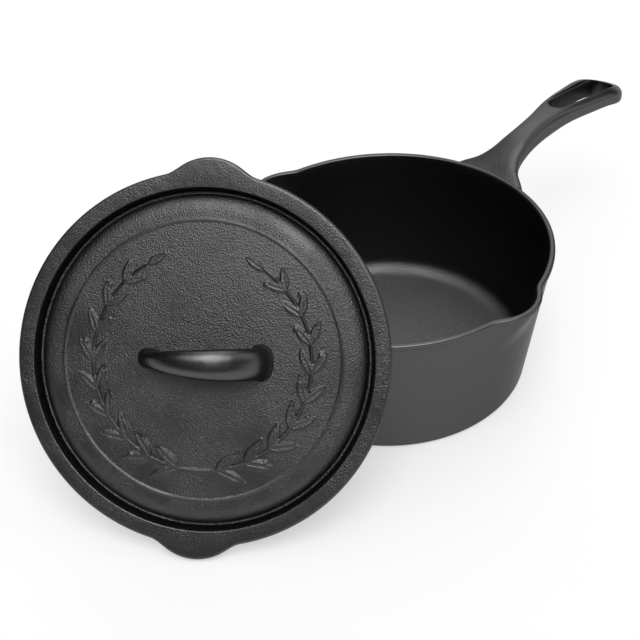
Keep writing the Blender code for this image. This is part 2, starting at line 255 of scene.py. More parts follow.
# Soft lamps. Each: turn from the side the camera stands on (right is plus), height above the horizon,
# where it starts to fade and where it ends, all in degrees, and its strength
CAMERA_DIRECTION = -134
LAMPS = (
    (18, 64, 14, 31, 4.6),
    (-50, 70, 10, 30, 1.2),
    (160, 62, 10, 28, 1.6),
    (180, 26, 12, 30, 1.2),
    (95, 30, 8, 28, 1.0),
)

# Camera, from the photograph's perspective
PHOTO_WIDTH = 640
FOCAL_PIXELS = 1135.75
SENSOR_WIDTH = 36.0
CAMERA_CLIP = 0.01
CAMERA_PLACE = (-0.428899, -0.379775, 0.494505)
CAMERA_RIGHT = (0.688265, -0.723756, -0.049691)
CAMERA_UP = (0.483836, 0.406914, 0.774806)
CAMERA_BACK = (-0.540550, -0.557314, 0.630244)


def mesh_object(name, rings):
    """A closed mesh through rings of points. A ring may have half as many points as its neighbour."""
    mesh = bmesh.new()
    loops = [[mesh.verts.new(point) for point in ring] for ring in rings]
    for one, two in zip(loops, loops[1:]):
        if len(one) == len(two):
            stitch_equal(mesh, one, two)
        elif len(one) > len(two):
            stitch_halving(mesh, one, two)
        else:
            stitch_halving(mesh, two, one)
    mesh.faces.new(loops[0])
    mesh.faces.new(loops[-1])
    bmesh.ops.recalc_face_normals(mesh, faces=mesh.faces)
    data = bpy.data.meshes.new(name)
    mesh.to_mesh(data)
    mesh.free()
    thing = bpy.data.objects.new(name, data)
    bpy.context.scene.collection.objects.link(thing)
    return thing


def stitch_equal(mesh, one, two):
    count = len(one)
    for i in range(count):
        j = (i + 1) % count
        mesh.faces.new((one[i], one[j], two[j], two[i]))


def stitch_halving(mesh, many, few):
    """Joins a ring to one that has half as many points."""
    count = len(few)
    for i in range(count):
        j = (i + 1) % count
        middle = many[2 * i + 1]
        mesh.faces.new((many[2 * i], middle, few[i]))
        mesh.faces.new((middle, few[j], few[i]))
        mesh.faces.new((middle, many[(2 * i + 2) % len(many)], few[j]))


def apply_boolean(thing, other, operation):
    """Joins or cuts a solid with another, and removes the other."""
    modifier = thing.modifiers.new(operation.lower(), "BOOLEAN")
    modifier.operation = operation
    modifier.solver = "EXACT"
    modifier.object = other
    depsgraph = bpy.context.evaluated_depsgraph_get()
    result = bpy.data.meshes.new_from_object(thing.evaluated_get(depsgraph))
    thing.modifiers.remove(modifier)
    thing.data = result
    bpy.data.objects.remove(other, do_unlink=True)


def tidy_mesh(thing):
    """Merges the crumbs that a union leaves and shades the surface smooth."""
    mesh = bmesh.new()
    mesh.from_mesh(thing.data)
    bmesh.ops.remove_doubles(mesh, verts=mesh.verts, dist=MERGE_DISTANCE)
    bmesh.ops.dissolve_degenerate(mesh, edges=mesh.edges, dist=MERGE_DISTANCE)
    mesh.to_mesh(thing.data)
    mesh.free()
    thing.data.shade_smooth()
    thing.data.set_sharp_from_angle(angle=SHARP_ANGLE)


def signed_power(value, power):
    return math.copysign(abs(value) ** power, value)


def rounded_end(share, roundness):
    """What is left of a width at a share of the way to a rounded end."""
    return (1 - share ** roundness) ** (1 / roundness)


def between(low, high, share):
    """The value at a share of the way from one value to another."""
    return low + (high - low) * share


def arc_points(centre_r, centre_z, radius, start, end):
    """An arc of a turned outline, between two angles in radians."""
    steps = max(math.ceil(abs(end - start) / ARC_STEP), 2)
    points = []
    for i in range(steps + 1):
        angle = start + (end - start) * i / steps
        points.append((centre_r + radius * math.cos(angle), centre_z + radius * math.sin(angle)))
    return points


def round_corner(before, corner, after, radius):
    """The points of an arc that takes the place of one corner of an outline."""
    corner = Vector(corner)
    one = (Vector(before) - corner).normalized()
    two = (Vector(after) - corner).normalized()
    half = one.angle(two) / 2
    centre = corner + (one + two).normalized() * radius / math.sin(half)
    start = corner + one * radius / math.tan(half) - centre
    sweep = start.angle_signed(corner + two * radius / math.tan(half) - centre)
    steps = max(math.ceil(abs(sweep) / ARC_STEP), 2)
    points = []
    for i in range(steps + 1):
        arm = start.copy()
        arm.rotate(Matrix.Rotation(-sweep * i / steps, 2))
        points.append((centre.x + arm.x, centre.y + arm.y))
    return points


def fill_runs(points, step):
    """Adds points along the straight runs of an outline, so that none is longer than a step."""
    filled = [points[0]]
    for one, two in zip(points, points[1:]):
        count = max(math.ceil(math.dist(one, two) / step), 1)
        for i in range(1, count + 1):
            share = i / count
            filled.append((between(one[0], two[0], share), between(one[1], two[1], share)))
    return filled


def smooth_maximum(a, b, blend):
    overlap = max(blend - abs(a - b), 0.0) / blend
    return max(a, b) + overlap * overlap * blend / 4


def bulge(angle, radius, reach, round_radius):
    """How far a round bulge stands out of a circle, at an angle from the bulge's middle."""
    centre = radius + reach - round_radius
    across = centre * math.sin(angle)
    if math.cos(angle) <= 0 or abs(across) >= round_radius:
        return 0.0
    arc = centre * math.cos(angle) + math.sqrt(round_radius ** 2 - across ** 2)
    return max(smooth_maximum(radius, arc, SPOUT_BLEND) - radius, 0.0)


def two_bulges(angle, radius, reach, round_radius):
    """The bulges at +Y and -Y together."""
    return max(bulge(angle - math.pi / 2, radius, reach, round_radius),
               bulge(angle - 3 * math.pi / 2, radius, reach, round_radius))


def even_angles(count):
    return [2 * math.pi * i / count for i in range(count)]


def wall_outer_radius(z):
    """Radius of the wall's tapered outer face at a height."""
    top = POT_HEIGHT - RIM_DEPTH
    return RIM_RADIUS - LIP_STEP - (top - z) * math.tan(WALL_DRAFT)


def spout_fade(z):
    """1 at the rim, falling smoothly to 0 at the foot of a spout."""
    depth = (POT_HEIGHT - z) / SPOUT_DEPTH
    if depth >= 1:
        return 0.0
    return (1 - depth) ** 2 * (1 + 2 * depth)


def pot_outer_profile():
    """Outline of the pan as (radius, height), from its base up to the rim's outer edge."""
    lift = BASE_EDGE_RADIUS * (1 / math.cos(WALL_DRAFT) - math.tan(WALL_DRAFT))
    centre = wall_outer_radius(0) - lift
    top = POT_HEIGHT - RIM_DEPTH
    points = [(RUN_STEP, 0.0)]
    points += arc_points(centre, BASE_EDGE_RADIUS, BASE_EDGE_RADIUS, -math.pi / 2, -WALL_DRAFT)
    under_lip = (wall_outer_radius(top), top)
    lip = (RIM_RADIUS, top + LIP_STEP)
    points += round_corner(points[-1], under_lip, lip, LIP_STEP / 2)
    points += round_corner(under_lip, lip, (RIM_RADIUS, POT_HEIGHT), LIP_STEP / 2)
    points += arc_points(RIM_RADIUS - RIM_ROUND, POT_HEIGHT - RIM_ROUND, RIM_ROUND, 0, math.pi / 2)
    return fill_runs(points, RUN_STEP)


def pot_inner_profile():
    """Outline of the pan as (radius, height), from the rim's inner edge down to its floor."""
    top_radius = RIM_RADIUS - RIM_WIDTH
    floor_radius = wall_outer_radius(FLOOR_THICKNESS) - FOOT_WALL
    slope = math.atan((top_radius - floor_radius) / (POT_HEIGHT - FLOOR_THICKNESS))
    centre = floor_radius - FLOOR_FILLET * (1 / math.cos(slope) - math.tan(slope))
    points = arc_points(top_radius + RIM_ROUND, POT_HEIGHT - RIM_ROUND, RIM_ROUND,
                        math.pi / 2, math.pi)
    points += arc_points(centre, FLOOR_THICKNESS + FLOOR_FILLET, FLOOR_FILLET, -slope, -math.pi / 2)
    points.append((RUN_STEP, FLOOR_THICKNESS))
    return fill_runs(points, RUN_STEP)


def make_pot_body():
    angles = even_angles(PAN_ANGLES)
    rings = []
    for points, inset in ((pot_outer_profile(), 0.0), (pot_inner_profile(), RIM_WIDTH)):
        radius = RIM_RADIUS - inset
        bulges = [two_bulges(angle, radius, SPOUT_REACH, SPOUT_RADIUS - inset) for angle in angles]
        for r, z in points:
            fade = spout_fade(z)
            ring = []
            for angle, spout in zip(angles, bulges):
                out = r + spout * fade
                ring.append(Vector((out * math.cos(angle), out * math.sin(angle), z)))
            rings.append(ring)
    return mesh_object("pan_casting", rings)


def spline(values, at):
    """Cubic curve through (position, value) pairs, read at one position."""
    last = len(values) - 1
    i = 0
    while i < last - 1 and at > values[i + 1][0]:
        i += 1
    x0, y0 = values[i]
    x1, y1 = values[i + 1]
    before = values[max(i - 1, 0)]
    after = values[min(i + 2, last)]
    step = x1 - x0
    t = min(max((at - x0) / step, 0.0), 1.0)
    m0 = (y1 - before[1]) / (x1 - before[0]) * step
    m1 = (after[1] - y0) / (after[0] - x0) * step
    return ((2 * t ** 3 - 3 * t ** 2 + 1) * y0 + (t ** 3 - 2 * t ** 2 + t) * m0
            + (3 * t ** 2 - 2 * t ** 3) * y1 + (t ** 3 - t ** 2) * m1)


def handle_size(distance):
    """Height of the handle's middle above the rim's top, its half width and half thickness."""
    end = (HANDLE_REACH, -HANDLE_END_DROP, HANDLE_STATIONS[-1][2], HANDLE_END_HALF_THICKNESS)
    stations = HANDLE_STATIONS + (end,)
    return [spline([(station[0], station[i]) for station in stations], distance)
            for i in (1, 2, 3)]


def root_fillet(distance):
    """How much lower the handle's underside lies near the wall, where it rounds into it."""
    away = (distance - ROOT_FILLET_START) / ROOT_FILLET
    if away >= 1:
        return 0.0
    away = max(away, ROOT_FILLET_CUT)
    return ROOT_FILLET * (1 - math.sqrt(1 - (1 - away) ** 2))


def handle_section(width, half, lower):
    """Points round one cross-section, as (across, up) from the section's middle."""
    power = 2 / HANDLE_SECTION_ROUNDNESS
    points = []
    for i in range(HANDLE_CROSS_STEPS):
        angle = 2 * math.pi * i / HANDLE_CROSS_STEPS
        thickness = half if math.sin(angle) > 0 else half + lower
        points.append((signed_power(math.cos(angle), power) * width,
                       signed_power(math.sin(angle), power) * thickness))
    return points


def root_ring(height, width, half):
    """The handle's first section. Its points lie inside the pan's wall, but the one face that
    closes it cuts across the wall's curve, so it stands out inside the pan by about 2 mm."""
    ring = []
    for across, up in handle_section(width, half, root_fillet(ROOT_FILLET_START)):
        z = POT_HEIGHT + height + up
        wall = wall_outer_radius(z) - ROOT_SINK
        ring.append(Vector((math.sqrt(wall ** 2 - across ** 2), across, z)))
    return ring


def handle_ring(distance, height, width, half):
    """One section of the handle. Near the pan it follows the curve of the rim."""
    wrap = max(1 - distance / ROOT_WRAP, 0.0) ** 2
    ring = []
    for across, up in handle_section(width, half, root_fillet(distance)):
        curve = RIM_RADIUS - math.sqrt(RIM_RADIUS ** 2 - across ** 2)
        ring.append(Vector((RIM_RADIUS + distance - curve * wrap, across, POT_HEIGHT + height + up)))
    return ring


def make_handle():
    """The long handle, from inside the wall's thickness out to its rounded end."""
    start = HANDLE_STATIONS[0][0]
    cap_start = HANDLE_STATIONS[-1][0]
    rings = [root_ring(*HANDLE_STATIONS[0][1:])]
    for i in range(HANDLE_STEPS + 1):
        share = (i / HANDLE_STEPS) ** HANDLE_STEP_CROWDING
        distance = between(start, cap_start, share)
        rings.append(handle_ring(distance, *handle_size(distance)))
    for i in range(1, HANDLE_CAP_STEPS + 1):
        share = math.sin(HANDLE_CAP_ANGLE * i / HANDLE_CAP_STEPS)
        distance = between(cap_start, HANDLE_REACH, share)
        height, width, half = handle_size(distance)
        width *= rounded_end(share, HANDLE_END_ROUNDNESS)
        half *= rounded_end(share, HANDLE_TIP_EDGE_ROUNDNESS)
        rings.append(handle_ring(distance, height, width, half))
    return mesh_object("handle_part", rings)


def hole_centres():
    """Where the centres of the hang hole's near and far circles lie on the handle."""
    return (RIM_RADIUS + HOLE_NEAR_LIMB + HOLE_NEAR_RADIUS,
            RIM_RADIUS + HANDLE_REACH - HOLE_END_LIMB - HOLE_FAR_RADIUS)


def hole_outline(grow):
    """The hang hole's outline seen from above, made larger all round."""
    near, far = hole_centres()
    lean = math.acos((HOLE_NEAR_RADIUS - HOLE_FAR_RADIUS) / (far - near))
    outline = []
    for centre, size, start, sweep in ((near, HOLE_NEAR_RADIUS, lean, 2 * math.pi - 2 * lean),
                                       (far, HOLE_FAR_RADIUS, -lean, 2 * lean)):
        radius = size + grow
        for i in range(HOLE_STEPS + 1):
            angle = start + sweep * i / HOLE_STEPS
            outline.append((centre + radius * math.cos(angle), radius * math.sin(angle)))
    return outline


def handle_face(x, y, side):
    """Height of the handle's top (side 1) or underside (side -1) at a place seen from above."""
    height, width, half = handle_size(x - RIM_RADIUS)
    share = min(abs(y) / width, 1.0)
    return POT_HEIGHT + height + side * half * rounded_end(share, HANDLE_SECTION_ROUNDNESS)


def make_hole_cutter():
    """Cuts the hang hole: narrower towards the handle's underside, with rounded edges."""
    edge = []
    for i in range(HOLE_EDGE_STEPS + 1):
        angle = HOLE_EDGE_ANGLE * i / HOLE_EDGE_STEPS
        edge.append((HOLE_EDGE_ROUND * (1 - math.cos(angle)),
                     HOLE_EDGE_ROUND * (1 - math.sin(angle))))
    grow, depth = edge[-1]
    edge.append((grow + HOLE_EDGE_RUN * math.sin(HOLE_EDGE_ANGLE),
                 depth - HOLE_EDGE_RUN * math.cos(HOLE_EDGE_ANGLE)))
    widest = hole_outline(edge[-1][0])
    rings = [[Vector((x, y, POT_HEIGHT - HOLE_CUT_PAST)) for x, y in widest]]
    for side, outlines in ((-1, reversed(edge)), (1, edge)):
        draft = HOLE_DRAFT if side < 0 else 0.0
        for grow, depth in outlines:
            rings.append([Vector((x, y, handle_face(x, y, side) - side * depth))
                          for x, y in hole_outline(grow - draft)])
    rings.append([Vector((x, y, POT_HEIGHT + HOLE_CUT_PAST)) for x, y in widest])
    return mesh_object("hole_cutter", rings)


def lid_radius():
    return RIM_RADIUS + LID_OVERHANG


def groove_outer_radius():
    return lid_radius() - FLANGE_WIDTH - GROOVE_SLOPE


def disc_edge_radius():
    """Where the crowned disc starts to round down into the groove."""
    return groove_outer_radius() - GROOVE_FLOOR - DISC_EDGE_ROUND


def disc_height(r):
    """Height of the crowned disc above the lid's flange, at a radius."""
    return DISC_CROWN * (1 - (r / disc_edge_radius()) ** 2)


def disc_radii():
    """Radii of the rings on the disc: close together across the wreath, wide elsewhere."""
    radii = []
    for start, end, step in ((0.0, FINE_START, RUN_STEP), (FINE_START, FINE_END, FINE_STEP),
                             (FINE_END, disc_edge_radius(), RUN_STEP / 2)):
        count = math.ceil((end - start) / step)
        radii += [start + (end - start) * (i + 1) / count for i in range(count)]
    return radii


def groove_profile():
    """Outline as (radius, height) from the disc's edge through the groove to the flange."""
    edge = disc_edge_radius()
    steps = round(math.pi / 2 / ARC_STEP)
    points = []
    for i in range(1, steps + 1):
        angle = math.pi / 2 * i / steps
        points.append((edge + DISC_EDGE_ROUND * math.sin(angle),
                       -GROOVE_DEPTH * (1 - math.cos(angle))))
    corner = (groove_outer_radius(), -GROOVE_DEPTH)
    shoulder = (groove_outer_radius() + GROOVE_SLOPE, 0.0)
    middle = lid_radius() - LID_EDGE_ROUND
    points += round_corner(points[-1], corner, shoulder, GROOVE_CORNER_ROUND)
    points += round_corner(corner, shoulder, (middle, 0.0), FLANGE_EDGE_ROUND)
    return fill_runs(points, RUN_STEP)


def lid_edge_profile():
    """Outline of the flange's rounded outer edge, top to bottom."""
    middle = lid_radius() - LID_EDGE_ROUND
    points = arc_points(middle, -LID_EDGE_ROUND, LID_EDGE_ROUND, math.pi / 2, 0)
    points += arc_points(middle, LID_EDGE_ROUND - LID_EDGE_THICKNESS, LID_EDGE_ROUND, 0, -math.pi / 2)
    return points


def lid_under_profile():
    """Outline under the lid: the skirt that drops inside the pan's rim, then the disc's underside."""
    skirt = RIM_RADIUS - RIM_WIDTH - SKIRT_CLEARANCE
    foot = skirt - SKIRT_TAPER
    points = [(skirt, -LID_EDGE_THICKNESS)]
    points += arc_points(foot - SKIRT_ROUND, SKIRT_ROUND - SKIRT_DEPTH, SKIRT_ROUND, 0, -math.pi / 2)
    points.append((skirt - SKIRT_THICKNESS - SKIRT_TAPER, -SKIRT_DEPTH))
    edge = disc_edge_radius()
    count = math.ceil(edge / RUN_STEP / 2)
    for i in range(count, 0, -1):
        r = edge * i / count
        points.append((r, disc_height(r) - DISC_THICKNESS))
    return points


def wreath_angle(side, share):
    """Angle round the disc at a share of the way along the left (-1) or right (1) branch."""
    return -math.pi / 2 + side * between(WREATH_START, WREATH_END, share)


def wreath_leaves():
    """Base point, direction and length of each leaf of the two branches."""
    leaves = []
    for side in (-1, 1):
        for i in range(LEAF_PAIRS + 1):
            share = i / LEAF_PAIRS
            angle = wreath_angle(side, share)
            base = (WREATH_RADIUS * math.cos(angle), WREATH_RADIUS * math.sin(angle))
            along = angle + side * math.pi / 2
            length = LEAF_LENGTH * (1 - (1 - LEAF_TAPER) * share)
            if i == LEAF_PAIRS:
                leaves.append((base, along, length))
                continue
            leaves.append((base, along + LEAF_SPREAD, length))
            leaves.append((base, along - LEAF_SPREAD, length))
    return leaves


def leaf_relief(x, y, leaf):
    """Height of one pointed leaf with a sunk midrib."""
    base, direction, length = leaf
    ux = math.cos(direction)
    uy = math.sin(direction)
    share = np.clip(((x - base[0]) * ux + (y - base[1]) * uy) / length, 0.0, 1.0)
    across = (y - base[1]) * ux - (x - base[0]) * uy
    belly = np.sin(np.pi * share ** LEAF_WIDTH_POWER)
    half = LEAF_HALF_WIDTH * length / LEAF_LENGTH * belly + LEAF_TIP_HALF_WIDTH
    inside = np.clip((1 - np.abs(across) / half) / LEAF_EDGE, 0.0, 1.0)
    plate = inside * inside * (3 - 2 * inside)
    rib = 1 - MIDRIB_DEPTH * np.exp(-(across / MIDRIB_HALF_WIDTH) ** 2)
    beyond = (share <= 0.0) | (share >= 1.0)
    return np.where(beyond, 0.0, LEAF_HEIGHT * plate * rib)


def stem_relief(x, y):
    """The two stems on the wreath's circle, thinner towards their tips."""
    r = np.hypot(x, y)
    turn = np.abs(np.arctan2(x, -y))
    share = np.clip(turn / WREATH_END, 0.0, 1.0)
    half = STEM_HALF_WIDTH * (1 - STEM_TAPER * share)
    away = np.clip(np.abs(r - WREATH_RADIUS) / half, 0.0, 1.0)
    return np.where(turn < WREATH_END, STEM_HEIGHT * np.sqrt(1 - away ** 2), 0.0)


def berry_relief(x, y):
    """Small berries between the pairs of leaves, by turns outside and inside the stem."""
    height = np.zeros_like(x)
    for side in (-1, 1):
        for i in range(LEAF_PAIRS):
            angle = wreath_angle(side, (i + BERRY_PLACE) / LEAF_PAIRS)
            out = WREATH_RADIUS + (BERRY_OFFSET if i % 2 else -BERRY_OFFSET)
            away = np.hypot(x - out * math.cos(angle), y - out * math.sin(angle)) / BERRY_RADIUS
            height = np.maximum(height, BERRY_HEIGHT * np.sqrt(np.clip(1 - away ** 2, 0.0, 1.0)))
    return height


def border_relief(x, y):
    """A thin raised line round the edge of the disc."""
    away = (np.hypot(x, y) - BORDER_RADIUS) / BORDER_HALF_WIDTH
    return BORDER_HEIGHT * np.clip(1 - away ** 2, 0.0, 1.0)


def ornament(x, y):
    """Height of the cast ornament above the plain disc."""
    height = np.maximum(stem_relief(x, y), border_relief(x, y))
    height = np.maximum(height, berry_relief(x, y))
    for leaf in wreath_leaves():
        height = np.maximum(height, leaf_relief(x, y, leaf))
    return height


def disc_rings():
    """The disc's rings with the ornament on them."""
    rings = []
    for r in disc_radii():
        fine = FINE_START < r < FINE_END + RUN_STEP
        angles = np.array(even_angles(LID_ANGLES if fine else LID_ANGLES // 2))
        x = r * np.cos(angles)
        y = r * np.sin(angles)
        z = disc_height(r) + (ornament(x, y) if fine else 0.0 * x)
        rings.append([Vector(point) for point in zip(x, y, z)])
    return rings


def make_lid_plate():
    """The lid without its bow. Only its outer edge follows the two ears that cover the spouts."""
    reach = RIM_RADIUS + SPOUT_REACH + EAR_COVER - lid_radius()
    rings = disc_rings()
    for points, count, has_ears in ((groove_profile(), LID_ANGLES // 2, False),
                                    (lid_edge_profile(), LID_ANGLES // 2, True),
                                    (lid_under_profile(), LID_ANGLES // 2, False)):
        angles = even_angles(count)
        ears = [two_bulges(angle, lid_radius(), reach, SPOUT_RADIUS) * has_ears for angle in angles]
        for r, z in points:
            rings.append([Vector(((r + ear) * math.cos(angle), (r + ear) * math.sin(angle), z))
                          for angle, ear in zip(angles, ears)])
    return mesh_object("lid_casting", rings)


def bow_ring(angle):
    """One cross-section of the bow, at an angle along its arch from the wide foot to the narrow."""
    power = 2 / BOW_ARCH_SQUARENESS
    half_span = (BOW_SPAN - BOW_THICKNESS) / 2
    rise = BOW_HEIGHT - BOW_THICKNESS / 2
    c = math.cos(angle)
    s = math.sin(angle)
    along = signed_power(c, power) * half_span
    up = abs(s) ** power * rise
    normal = Vector((signed_power(c, 2 - power) / half_span, 0, abs(s) ** (2 - power) / rise))
    normal.normalize()
    narrow, wide = BOW_FOOT_WIDTHS
    lean = (wide - narrow) / 2 * c
    width = BOW_CROWN_WIDTH + lean + ((wide + narrow) / 2 - BOW_CROWN_WIDTH) * c * c
    above = max(up - disc_height(BOW_SPAN / 2), 0.0) / BOW_FLARE_HEIGHT
    flare = BOW_FLARE * max(1 - above, 0.0) ** 2
    section = 2 / BOW_SECTION_SQUARENESS
    ring = []
    for i in range(BOW_CROSS_STEPS):
        turn = 2 * math.pi * i / BOW_CROSS_STEPS
        out = signed_power(math.cos(turn), section) * (BOW_THICKNESS / 2 + flare)
        side = signed_power(math.sin(turn), section) * (width / 2 + flare)
        ring.append(Vector((along + normal.x * out, side, up + normal.z * out)))
    return ring


def make_bow():
    """The arch that the lid is lifted by. Its feet end inside the plate."""
    place = Matrix.Translation((BOW_SHIFT, BOW_SIDE_SHIFT, 0)) @ Matrix.Rotation(BOW_TURN, 4, "Z")
    rings = []
    for i in range(1, BOW_STEPS):
        angle = math.pi / 2 * (1 - math.cos(math.pi * i / BOW_STEPS))
        rings.append([place @ point for point in bow_ring(angle)])
    return mesh_object("bow_part", rings)


def leaning_pose():
    """Places the lid, ear on the floor and skirt against the rim, a hair's breadth clear of it."""
    tilt = math.pi / 2 - LEAN_FROM_FLOOR
    level = Vector((math.cos(LEAN_DIRECTION), math.sin(LEAN_DIRECTION), 0))
    normal = level * math.cos(tilt) + Vector((0, 0, math.sin(tilt)))
    sideways = Vector((0, 0, 1)).cross(normal).normalized()
    up_slope = normal.cross(sideways)
    rim_support = ((RIM_RADIUS - RIM_ROUND) * math.cos(tilt)
                   + (POT_HEIGHT - RIM_ROUND) * math.sin(tilt) + RIM_ROUND)
    out = rim_support + REST_GAP + SKIRT_DEPTH
    ear = RIM_RADIUS + SPOUT_REACH + EAR_COVER
    height = ((ear - LID_EDGE_ROUND) * math.cos(tilt)
              + (LID_EDGE_THICKNESS - LID_EDGE_ROUND) * math.sin(tilt) + LID_EDGE_ROUND)
    along_level = (out - height * math.sin(tilt)) / math.cos(tilt)
    centre = level * along_level - sideways * LEAN_SIDEWAYS + Vector((0, 0, height))
    axes = Matrix((sideways, up_slope, normal)).transposed().to_4x4()
    return Matrix.Translation(centre) @ axes @ Matrix.Rotation(EAR_TURN, 4, "Z")


def make_pan():
    handle = make_handle()
    apply_boolean(handle, make_hole_cutter(), "DIFFERENCE")
    pan = make_pot_body()
    apply_boolean(pan, handle, "UNION")
    tidy_mesh(pan)
    mark_pan(pan)
    return pan


def make_lid():
    lid = make_lid_plate()
    apply_boolean(lid, make_bow(), "UNION")
    tidy_mesh(lid)
    mark_lid(lid)
    lid.data.transform(leaning_pose() @ Matrix.Scale(LID_FIT, 4))
    return lid


def add_node(owner, kind, **values):
    """A node of a material or a world, with some of its inputs set."""
    node = owner.node_tree.nodes.new(kind)
    for name, value in values.items():
        node.inputs[name.replace("_", " ")].default_value = value
    return node


def smooth_share(values, start, end):
    """0 before the start, 1 after the end, and a smooth rise between."""
    share = np.clip((values - start) / (end - start), 0.0, 1.0)
    return share * share * (3 - 2 * share)


def point_array(thing):
    points = np.empty(len(thing.data.vertices) * 3)
    thing.data.vertices.foreach_get("co", points)
    return points.reshape(-1, 3)


def store_zone(thing, name, values):
    """Gives each point of a mesh a number that the material reads."""
    layer = thing.data.attributes.new(name, "FLOAT", "POINT")
    layer.data.foreach_set("value", np.ascontiguousarray(values, dtype=np.float32))


def mark_lid(lid):
    """The disc is grainy, the flange less so, and the bow is smooth."""
    x, y, z = point_array(lid).T
    r = np.hypot(x, y)
    plate = np.where(r > groove_outer_radius(), FLANGE_GRAIN, 1.0)
    on_bow = smooth_share(z - disc_height(r), BOW_GRAIN_START, BOW_GRAIN_END)
    store_zone(lid, "grain", between(plate, BOW_GRAIN, on_bow))


def mark_pan(pan):
    """The floor and the handle's root are grainy, the wall is smooth, and the wall's inside and
    the hang hole are darker with painted shade."""
    x, y, z = point_array(pan).T
    r = np.hypot(x, y)
    spout = np.array([two_bulges(angle, RIM_RADIUS, SPOUT_REACH, SPOUT_RADIUS) * spout_fade(height)
                      for angle, height in zip(np.arctan2(y, x), z)])
    wall = RIM_RADIUS - RIM_WIDTH / 2 - (POT_HEIGHT - z) * math.tan(WALL_DRAFT) + spout
    inside = (r < wall) & (z > FLOOR_THICKNESS - FLOOR_ZONE_DEPTH)
    on_wall = smooth_share(z, FLOOR_THICKNESS + FLOOR_FILLET_SHARE * FLOOR_FILLET,
                           FLOOR_THICKNESS + FLOOR_FILLET)
    below_rim = 1 - smooth_share(z, POT_HEIGHT - INSIDE_FADE_START, POT_HEIGHT - INSIDE_FADE_END)
    along = smooth_share(x - RIM_RADIUS, ROOT_GRAIN_START, ROOT_GRAIN_END)
    handle = x > RIM_RADIUS + HANDLE_START
    grain = np.where(inside, between(FLOOR_GRAIN, INSIDE_WALL_GRAIN, on_wall), WALL_GRAIN)
    grain = np.where(handle, between(ROOT_GRAIN, HANDLE_GRAIN, along), grain)
    store_zone(pan, "grain", grain)
    near, far = hole_centres()
    way = np.clip((x - near) / (far - near), 0.0, 1.0)
    hole = (np.hypot(x - between(near, far, way), y)
            - between(HOLE_NEAR_RADIUS, HOLE_FAR_RADIUS, way))
    hole_painted_shade = handle * (1 - smooth_share(hole, HOLE_SHADE_START, HOLE_SHADE_END))
    # Painted shade: this zone darkens the colour of the inside wall below the rim and of the hang hole, and
    # also makes them rougher
    store_zone(pan, "inside", np.where(inside, on_wall * below_rim, hole_painted_shade))
    store_zone(pan, "floor", np.where(inside, 1 - on_wall, 0.0))


def blend_zones(material, kind, first, zones):
    """A number or colour that starts as the first value and turns into another in each zone."""
    value = None
    for name, high in zones:
        mix = material.node_tree.nodes.new("ShaderNodeMix")
        mix.data_type = kind
        sockets = [socket for socket in mix.inputs if socket.enabled]
        sockets[1].default_value = first
        sockets[2].default_value = high
        material.node_tree.links.new(zone_of(material, name), sockets[0])
        if value:
            material.node_tree.links.new(value, sockets[1])
        value = [socket for socket in mix.outputs if socket.enabled][0]
    return value


def noise_of(material, size, detail):
    """Noise fixed to the piece, of a size in metres."""
    links = material.node_tree.links
    place = add_node(material, "ShaderNodeTexCoord")
    grain = add_node(material, "ShaderNodeTexNoise", Scale=1 / size, Detail=detail)
    links.new(place.outputs["Object"], grain.inputs["Vector"])
    return grain.outputs["Fac"]


def math_node(owner, operation, one, two):
    """The result of an operation on a socket and either another socket or a number."""
    node = add_node(owner, "ShaderNodeMath")
    node.operation = operation
    owner.node_tree.links.new(one, node.inputs[0])
    if isinstance(two, float):
        node.inputs[1].default_value = two
    else:
        owner.node_tree.links.new(two, node.inputs[1])
    return node.outputs[0]


def zone_of(material, name):
    node = add_node(material, "ShaderNodeAttribute")
    node.attribute_name = name
    return node.outputs["Fac"]


def iron_material(name):
    """Seasoned sand-cast iron: nearly black, satin, with the fine grain of the mould."""
    material = bpy.data.materials.new(name)
    material.use_nodes = True
    links = material.node_tree.links
    shader = material.node_tree.nodes["Principled BSDF"]
    shader.inputs["Metallic"].default_value = 1.0
    shader.inputs["Specular Tint"].default_value = GRAZING_TINT
    # In the inside zone the colour is painted shade, darker on the pan's inside wall and in the hang hole
    colour = blend_zones(material, "RGBA", SATIN_COLOUR, (
        ("grain", GRAIN_COLOUR), ("inside", INSIDE_PAINTED_SHADE_COLOUR), ("floor", FLOOR_COLOUR)))
    links.new(colour, shader.inputs["Base Color"])
    roughness = blend_zones(material, "FLOAT", SATIN_ROUGHNESS, (
        ("grain", GRAIN_ROUGHNESS), ("inside", INSIDE_ROUGHNESS), ("floor", FLOOR_ROUGHNESS)))
    links.new(roughness, shader.inputs["Roughness"])
    patches = add_node(material, "ShaderNodeMapRange", From_Min=PATCH_NOISE_LOW,
                       From_Max=PATCH_NOISE_HIGH, To_Min=PATCH_FAINTEST, To_Max=1.0)
    links.new(noise_of(material, PATCH_SIZE, PATCH_DETAIL), patches.inputs["Value"])
    strength = math_node(material, "MULTIPLY", zone_of(material, "grain"),
                         patches.outputs["Result"])
    skin = add_node(material, "ShaderNodeBump", Strength=1.0, Distance=SKIN_HEIGHT)
    links.new(noise_of(material, SKIN_SIZE, SKIN_DETAIL), skin.inputs["Height"])
    bump = add_node(material, "ShaderNodeBump", Distance=GRAIN_HEIGHT)
    links.new(strength, bump.inputs["Strength"])
    links.new(noise_of(material, GRAIN_SIZE, GRAIN_DETAIL), bump.inputs["Height"])
    links.new(skin.outputs["Normal"], bump.inputs["Normal"])
    links.new(bump.outputs["Normal"], shader.inputs["Normal"])
    return material


